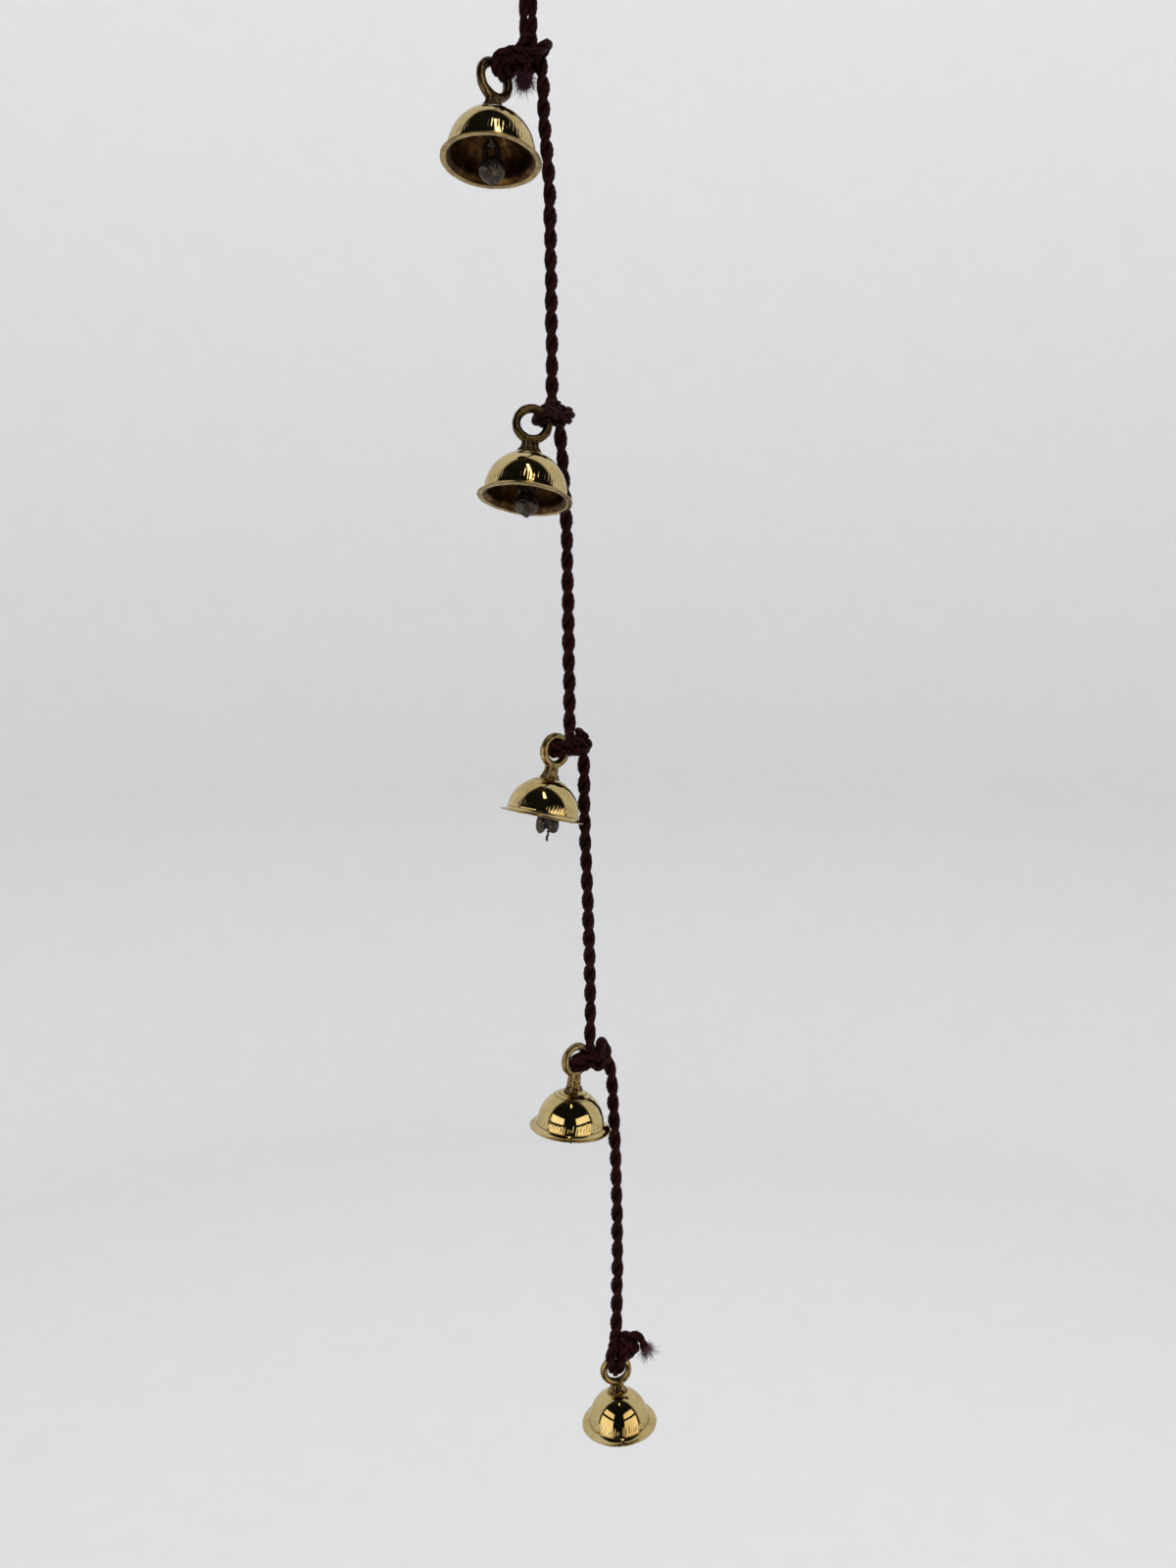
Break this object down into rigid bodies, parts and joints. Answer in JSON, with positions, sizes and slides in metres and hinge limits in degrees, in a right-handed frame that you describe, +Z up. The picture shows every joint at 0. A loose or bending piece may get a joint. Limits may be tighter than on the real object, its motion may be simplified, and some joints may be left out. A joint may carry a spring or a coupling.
{
  "type": "string of bells",
  "caption": "Hanging string of graduated brass bells, each tied by its ring to a twisted cord, with an iron clapper on a wire link inside.",
  "frame": {"origin": "The point inside the top of the hanging loop where a hook carries the string.", "axes": "+Z up along the string, +X to the right as seen from the front, -Y towards the viewer. The cord hangs in the plane Y = 0."},
  "size_m": [0.0925, 0.0473, 0.6672],
  "materials": {
    "cup_brass": "mirror polished outside, brown patina inside",
    "ring_brass": "worn polish, with dark patina in the corners",
    "iron": "dark worn iron",
    "cord": "silky two-ply twisted cord, dark maroon brown"
  },
  "bodies": {
    "top_loop": {"hanging_loop": "cord"},
    "string_1": {"knot_1": "cord", "cord_span_1": "cord", "top_tail": "cord"},
    "hitch_1": {"bell_1_hitch": "cord"},
    "bell_1": {"bell_1_cup": "cup_brass", "bell_1_ring": "ring_brass", "bell_1_staple": "iron"},
    "link_1": {"bell_1_link": "iron"},
    "clapper_1": {"bell_1_clapper": "iron"},
    "string_2": {"knot_2": "cord", "cord_span_2": "cord"},
    "hitch_2": {"bell_2_hitch": "cord"},
    "bell_2": {"bell_2_cup": "cup_brass", "bell_2_ring": "ring_brass", "bell_2_staple": "iron"},
    "link_2": {"bell_2_link": "iron"},
    "clapper_2": {"bell_2_clapper": "iron"},
    "string_3": {"knot_3": "cord", "cord_span_3": "cord"},
    "hitch_3": {"bell_3_hitch": "cord"},
    "bell_3": {"bell_3_cup": "cup_brass", "bell_3_ring": "ring_brass", "bell_3_staple": "iron"},
    "link_3": {"bell_3_link": "iron"},
    "clapper_3": {"bell_3_clapper": "iron"},
    "string_4": {"knot_4": "cord", "cord_span_4": "cord"},
    "hitch_4": {"bell_4_hitch": "cord"},
    "bell_4": {"bell_4_cup": "cup_brass", "bell_4_ring": "ring_brass", "bell_4_staple": "iron"},
    "link_4": {"bell_4_link": "iron"},
    "clapper_4": {"bell_4_clapper": "iron"},
    "string_5": {"knot_5": "cord", "bottom_tail": "cord"},
    "hitch_5": {"bell_5_hitch": "cord"},
    "bell_5": {"bell_5_cup": "cup_brass", "bell_5_ring": "ring_brass", "bell_5_staple": "iron"},
    "link_5": {"bell_5_link": "iron"},
    "clapper_5": {"bell_5_clapper": "iron"}
  },
  "joints": [
    {"name": "string_1_bend", "type": "hinge", "parent": "top_loop", "child": "string_1", "pos_m": [0, 0, -0.05074], "axis": [0, 1, 0], "range_deg": [-25, 25]},
    {"name": "bell_1_swing", "type": "hinge", "parent": "string_1", "child": "hitch_1", "pos_m": [-0.01172, -0.00292, -0.06183], "axis": [0, 1, 0], "range_deg": [0, 60], "deforming": ["bell_1_hitch"]},
    {"name": "bell_1_pitch", "type": "hinge", "parent": "hitch_1", "child": "bell_1", "pos_m": [-0.01172, -0.00292, -0.06183], "axis": [1, 0, 0], "range_deg": [-45, 45], "deforming": ["bell_1_hitch"]},
    {"name": "link_1_swing", "type": "hinge", "parent": "bell_1", "child": "link_1", "pos_m": [-0.01464, -0.00785, -0.08869], "axis": [0.9991, 0, -0.0419], "range_deg": [-39, 25]},
    {"name": "clapper_1_swing", "type": "hinge", "parent": "link_1", "child": "clapper_1", "pos_m": [-0.01496, -0.00785, -0.09645], "axis": [0, 1, 0], "range_deg": [-32.6, 37.4]},
    {"name": "string_2_bend", "type": "hinge", "parent": "string_1", "child": "string_2", "pos_m": [0.0096, 0, -0.19631], "axis": [0, 1, 0], "range_deg": [-25, 25]},
    {"name": "bell_2_swing", "type": "hinge", "parent": "string_2", "child": "hitch_2", "pos_m": [0.00416, -0.00717, -0.20153], "axis": [0, 1, 0], "range_deg": [0, 60], "deforming": ["bell_2_hitch"]},
    {"name": "bell_2_pitch", "type": "hinge", "parent": "hitch_2", "child": "bell_2", "pos_m": [0.00416, -0.00717, -0.20153], "axis": [1, 0, 0], "range_deg": [-45, 0], "deforming": ["bell_2_hitch"]},
    {"name": "link_2_swing", "type": "hinge", "parent": "bell_2", "child": "link_2", "pos_m": [-0.00035, -0.01233, -0.22611], "axis": [0.9959, 0, -0.0906], "range_deg": [-43, 21]},
    {"name": "clapper_2_swing", "type": "hinge", "parent": "link_2", "child": "clapper_2", "pos_m": [-0.00103, -0.01233, -0.23348], "axis": [0, 1, 0], "range_deg": [-29.8, 40.2]},
    {"name": "string_3_bend", "type": "hinge", "parent": "string_2", "child": "string_3", "pos_m": [0.017, 0, -0.33848], "axis": [0, 1, 0], "range_deg": [-25, 25]},
    {"name": "bell_3_swing", "type": "hinge", "parent": "string_3", "child": "hitch_3", "pos_m": [0.01274, -0.0066, -0.33991], "axis": [0, 1, 0], "range_deg": [0, 60], "deforming": ["bell_3_hitch"]},
    {"name": "bell_3_pitch", "type": "hinge", "parent": "hitch_3", "child": "bell_3", "pos_m": [0.01274, -0.0066, -0.33991], "axis": [1, 0, 0], "range_deg": [-45, 0], "deforming": ["bell_3_hitch"]},
    {"name": "link_3_swing", "type": "hinge", "parent": "bell_3", "child": "link_3", "pos_m": [0.00711, -0.01033, -0.36292], "axis": [0.9803, 0, -0.1977], "range_deg": [-39, 25]},
    {"name": "clapper_3_swing", "type": "hinge", "parent": "link_3", "child": "clapper_3", "pos_m": [0.00578, -0.01033, -0.36952], "axis": [0, 1, 0], "range_deg": [-23.6, 46.4]},
    {"name": "string_4_bend", "type": "hinge", "parent": "string_3", "child": "string_4", "pos_m": [0.0259, 0, -0.47914], "axis": [0, 1, 0], "range_deg": [-25, 25]},
    {"name": "bell_4_swing", "type": "hinge", "parent": "string_4", "child": "hitch_4", "pos_m": [0.02152, -0.00518, -0.47817], "axis": [0, 1, 0], "range_deg": [0, 60], "deforming": ["bell_4_hitch"]},
    {"name": "bell_4_pitch", "type": "hinge", "parent": "hitch_4", "child": "bell_4", "pos_m": [0.02152, -0.00518, -0.47817], "axis": [1, 0, 0], "range_deg": [-45, 0], "deforming": ["bell_4_hitch"]},
    {"name": "link_4_swing", "type": "hinge", "parent": "bell_4", "child": "link_4", "pos_m": [0.01775, -0.0065, -0.50384], "axis": [0.9963, 0, -0.0854], "range_deg": [-32, 32]},
    {"name": "clapper_4_swing", "type": "hinge", "parent": "link_4", "child": "clapper_4", "pos_m": [0.01718, -0.0065, -0.51044], "axis": [0, 1, 0], "range_deg": [-30.1, 39.9]},
    {"name": "string_5_bend", "type": "hinge", "parent": "string_4", "child": "string_5", "pos_m": [0.0381, 0, -0.61183], "axis": [0, 1, 0], "range_deg": [-25, 25]},
    {"name": "bell_5_swing", "type": "hinge", "parent": "string_5", "child": "hitch_5", "pos_m": [0.03839, -0.00541, -0.62481], "axis": [0, 1, 0], "range_deg": [-50, 60], "deforming": ["bell_5_hitch"]},
    {"name": "bell_5_pitch", "type": "hinge", "parent": "hitch_5", "child": "bell_5", "pos_m": [0.03839, -0.00541, -0.62481], "axis": [1, 0, 0], "range_deg": [-45, 45], "deforming": ["bell_5_hitch"]},
    {"name": "link_5_swing", "type": "hinge", "parent": "bell_5", "child": "link_5", "pos_m": [0.03877, -0.00464, -0.6464], "axis": [0.998, 0, 0.0628], "range_deg": [-29.5, 34.5]},
    {"name": "clapper_5_swing", "type": "hinge", "parent": "link_5", "child": "clapper_5", "pos_m": [0.03917, -0.00464, -0.65268], "axis": [0, 1, 0], "range_deg": [-38.6, 31.4]}
  ]
}
